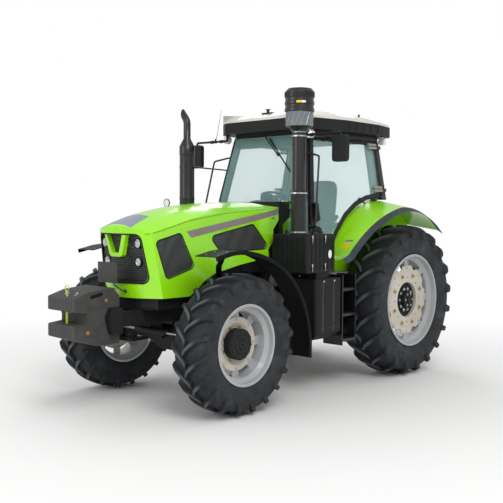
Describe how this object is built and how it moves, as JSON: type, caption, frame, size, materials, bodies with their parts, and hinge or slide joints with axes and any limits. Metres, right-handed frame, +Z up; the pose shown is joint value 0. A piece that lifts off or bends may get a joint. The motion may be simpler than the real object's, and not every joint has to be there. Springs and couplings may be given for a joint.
{
  "type": "farm tractor",
  "caption": "Four-wheel-drive farm tractor with a glazed cab, tilting hood, steered front fenders, cast front weights and a rear three-point hitch.",
  "frame": {"origin": "on the ground under the middle of the overall length and width", "axes": "+X forward, +Y to the driver's left, +Z up"},
  "size_m": [5.4471, 2.4, 3.2618],
  "materials": {
    "green_paint": "gloss enamel",
    "rim_paint": "silver-grey enamel",
    "disc_paint": "off-white enamel",
    "black_paint": "satin black enamel",
    "cast_grey": "painted cast iron",
    "black_plastic": "moulded, fine grain",
    "roof_white": "gel coat",
    "tyre": "moulded rubber",
    "flare_rubber": "moulded rubber",
    "glass": "tinted safety glass",
    "lamp_glass": "clear lens",
    "steel": "plated steel",
    "seat_fabric": "woven"
  },
  "bodies": {
    "chassis": {"air_filter": "black_plastic", "air_intake": "black_plastic", "battery_box": "black_plastic", "cab_floor": "black_paint", "cab_frame": "black_paint", "cab_glass": "glass", "cab_roof": "roof_white", "cowl": "black_plastic", "dashboard": "black_plastic", "drawbar": "black_paint", "engine_block": "cast_grey", "exhaust": "black_paint", "fender_flares": "flare_rubber", "front_axle": "cast_grey", "front_frame": "cast_grey", "front_weights": "cast_grey", "fuel_tank": "black_plastic", "grab_rails": "black_paint", "mirrors": "black_plastic", "radiator": "black_plastic", "rear_fender_left": "green_paint", "rear_fender_right": "green_paint", "roof_lamps": "lamp_glass", "roof_skirt": "black_plastic", "seat": "seat_fabric", "steering_wheel": "black_plastic", "steps": "black_paint", "top_link": "steel", "transmission": "cast_grey", "weight_carrier": "cast_grey"},
    "steer_left": {"knuckle_left": "cast_grey", "front_fender_left": "black_plastic"},
    "steer_right": {"knuckle_right": "cast_grey", "front_fender_right": "black_plastic"},
    "tie_rod": {"tie_rod": "steel"},
    "steering_rod": {"steering_rod": "steel"},
    "hood": {"hood": "green_paint", "hood_grilles": "black_plastic", "headlamps": "lamp_glass", "front_plate": "black_plastic"},
    "door_left": {"door_glass_left": "glass", "door_fittings_left": "black_plastic"},
    "door_right": {"door_glass_right": "glass", "door_fittings_right": "black_plastic"},
    "lift_arms": {"lift_arms": "black_paint"},
    "lift_rods": {"lift_rods": "steel"},
    "lower_links": {"lower_links": "black_paint"},
    "front_wheel_left": {"front_tyre_left": "tyre", "front_rim_left": "rim_paint", "front_disc_left": "disc_paint"},
    "front_wheel_right": {"front_tyre_right": "tyre", "front_rim_right": "rim_paint", "front_disc_right": "disc_paint"},
    "rear_wheel_left": {"rear_tyre_left": "tyre", "rear_rim_left": "rim_paint", "rear_disc_left": "disc_paint"},
    "rear_wheel_right": {"rear_tyre_right": "tyre", "rear_rim_right": "rim_paint", "rear_disc_right": "disc_paint"}
  },
  "joints": [
    {"name": "steering_left", "type": "hinge", "parent": "chassis", "child": "steer_left", "pos_m": [1.375, 0.66, 0.68], "axis": [0, 0, 1], "range_deg": [-30, 30]},
    {"name": "steering_right", "type": "hinge", "parent": "chassis", "child": "steer_right", "pos_m": [1.375, -0.66, 0.68], "axis": [0, 0, 1], "range_deg": [-30, 30]},
    {"name": "tie_rod_pivot", "type": "hinge", "parent": "steer_left", "child": "tie_rod", "pos_m": [1.115, 0.66, 0.515], "axis": [0, 0, 1], "range_deg": [-30, 30]},
    {"name": "steering_rod_slide", "type": "slide", "parent": "chassis", "child": "steering_rod", "axis": [0, 1, 0], "range_m": [-0.138, 0.138]},
    {"name": "front_wheel_left_spin", "type": "hinge", "parent": "steer_left", "child": "front_wheel_left", "pos_m": [1.375, 0.909, 0.68], "axis": [0, 1, 0], "continuous": true},
    {"name": "front_wheel_right_spin", "type": "hinge", "parent": "steer_right", "child": "front_wheel_right", "pos_m": [1.375, -0.909, 0.68], "axis": [0, 1, 0], "continuous": true},
    {"name": "rear_wheel_left_spin", "type": "hinge", "parent": "chassis", "child": "rear_wheel_left", "pos_m": [-1.475, 0.93, 0.9], "axis": [0, 1, 0], "continuous": true},
    {"name": "rear_wheel_right_spin", "type": "hinge", "parent": "chassis", "child": "rear_wheel_right", "pos_m": [-1.475, -0.93, 0.9], "axis": [0, 1, 0], "continuous": true},
    {"name": "hood_tilt", "type": "hinge", "parent": "chassis", "child": "hood", "pos_m": [0.18, 0, 2.04], "axis": [0, -1, 0], "range_deg": [0, 50]},
    {"name": "door_left_swing", "type": "hinge", "parent": "chassis", "child": "door_left", "pos_m": [-1.30631, 0.83341, 2.10629], "axis": [-0.0149, -0.1845, 0.9827], "range_deg": [0, 75]},
    {"name": "door_right_swing", "type": "hinge", "parent": "chassis", "child": "door_right", "pos_m": [-1.30631, -0.83341, 2.10629], "axis": [0.0149, -0.1845, -0.9827], "range_deg": [0, 75]},
    {"name": "lift_arm_hinge", "type": "hinge", "parent": "chassis", "child": "lift_arms", "pos_m": [-1.775, 0, 1.2], "axis": [0, 1, 0], "range_deg": [-25, 30]},
    {"name": "lift_rod_hinge", "type": "hinge", "parent": "lift_arms", "child": "lift_rods", "pos_m": [-2.155, 0, 1.245], "axis": [0, 1, 0], "range_deg": [-28.6, 23.8]},
    {"name": "lower_link_hinge", "type": "hinge", "parent": "chassis", "child": "lower_links", "pos_m": [-1.675, 0, 0.56], "axis": [0, 1, 0], "range_deg": [-19.8, 23.8]}
  ],
  "couplings": [
    {"joint": "steering_right", "follows": "steering_left", "ratio": 1},
    {"joint": "tie_rod_pivot", "follows": "steering_left", "ratio": -1},
    {"joint": "steering_rod_slide", "follows": "steering_left", "m_per_rad": 0.2626},
    {"joint": "lift_rod_hinge", "follows": "lift_arm_hinge", "ratio": -0.951},
    {"joint": "lower_link_hinge", "follows": "lift_arm_hinge", "ratio": 0.79}
  ]
}
